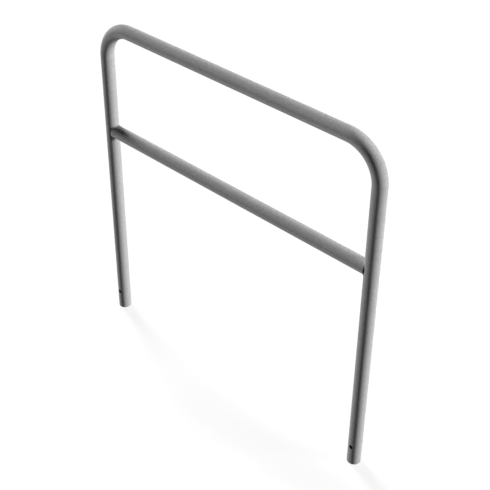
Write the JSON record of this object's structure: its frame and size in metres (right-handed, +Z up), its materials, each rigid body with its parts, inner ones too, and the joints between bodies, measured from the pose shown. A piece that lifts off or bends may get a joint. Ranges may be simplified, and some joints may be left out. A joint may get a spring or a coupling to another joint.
{
  "type": "hoop barrier",
  "caption": "Round steel tube bent into an upside-down U with a welded cross rail between its legs, set in the ground to guard edges, bays and walkways.",
  "frame": {"origin": "midway between the two leg ends, on their end plane", "axes": "+X along the width from leg to leg, +Y through the hoop's plane away from the viewer, +Z up"},
  "size_m": [1.2482, 0.0483, 1.25],
  "materials": {
    "galvanised_tube": "hot-dip galvanised zinc, dull mid grey with a fine grain",
    "galvanised_weld": "weld bead under the same hot-dip zinc, slightly duller"
  },
  "bodies": {
    "root": {"hoop_tube": "galvanised_tube", "cross_rail": "galvanised_tube", "left_upper_weld": "galvanised_weld", "left_lower_weld": "galvanised_weld", "right_upper_weld": "galvanised_weld", "right_lower_weld": "galvanised_weld"}
  },
  "joints": []
}
